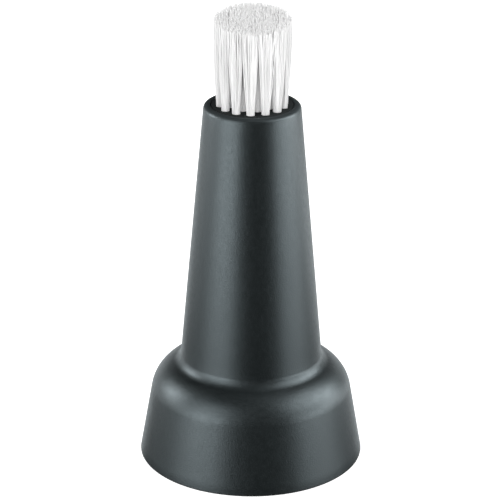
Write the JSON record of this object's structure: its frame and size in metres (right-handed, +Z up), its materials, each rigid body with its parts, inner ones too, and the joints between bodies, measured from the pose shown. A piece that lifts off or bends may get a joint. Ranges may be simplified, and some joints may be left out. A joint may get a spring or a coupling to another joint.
{
  "type": "cordless cleaning brush head",
  "caption": "Powered detail brush head: a conical housing with a bell skirt holds a drive shaft that turns a round plate of white bristle tufts.",
  "frame": {"origin": "centre of the skirt's bottom edge, on the drive shaft's axis", "axes": "+Z up along the drive shaft, out of the bristles; the picture looks along +Y"},
  "size_m": [0.0598, 0.0598, 0.1231],
  "materials": {
    "housing_plastic": "dark green-grey moulded plastic, fine grain, satin",
    "carrier_plastic": "dark grey moulded plastic",
    "plate_plastic": "near-black moulded plastic, coarse grain",
    "zinc_plate": "zinc-plated steel",
    "spring_steel": "ground stainless steel",
    "sintered_bronze": "porous sintered bronze",
    "seal_rubber": "black moulded rubber",
    "washer_acetal": "off-white acetal",
    "white_bristle": "white nylon filament"
  },
  "bodies": {
    "housing": {"cone_housing": "housing_plastic", "bearing_carrier": "carrier_plastic", "carrier_screw_1": "zinc_plate", "carrier_screw_2": "zinc_plate", "carrier_screw_3": "zinc_plate", "lower_bush": "sintered_bronze", "upper_bush": "sintered_bronze", "shaft_seal": "seal_rubber", "retaining_ring": "spring_steel", "nose_gasket": "seal_rubber"},
    "brush": {"drive_shaft": "spring_steel", "drive_socket": "plate_plastic", "socket_pin": "spring_steel", "plate_pin": "spring_steel", "lower_thrust_washer": "washer_acetal", "upper_thrust_washer": "washer_acetal", "shaft_circlip": "spring_steel", "brush_plate": "plate_plastic", "tuft_a_01": "white_bristle", "tuft_a_02": "white_bristle", "tuft_a_03": "white_bristle", "tuft_a_04": "white_bristle", "tuft_a_05": "white_bristle", "tuft_a_06": "white_bristle", "tuft_a_07": "white_bristle", "tuft_a_08": "white_bristle", "tuft_a_09": "white_bristle", "tuft_a_10": "white_bristle", "tuft_a_11": "white_bristle", "tuft_a_12": "white_bristle", "tuft_a_13": "white_bristle", "tuft_a_14": "white_bristle", "tuft_b_01": "white_bristle", "tuft_b_02": "white_bristle", "tuft_b_03": "white_bristle", "tuft_b_04": "white_bristle", "tuft_b_05": "white_bristle", "tuft_b_06": "white_bristle", "tuft_b_07": "white_bristle", "tuft_b_08": "white_bristle", "tuft_b_09": "white_bristle", "tuft_c_01": "white_bristle", "tuft_c_02": "white_bristle", "tuft_c_03": "white_bristle", "tuft_c_04": "white_bristle"}
  },
  "joints": [
    {"name": "brush_spin", "type": "hinge", "parent": "housing", "child": "brush", "pos_m": [0, 0, 0], "axis": [0, 0, 1], "continuous": true}
  ]
}
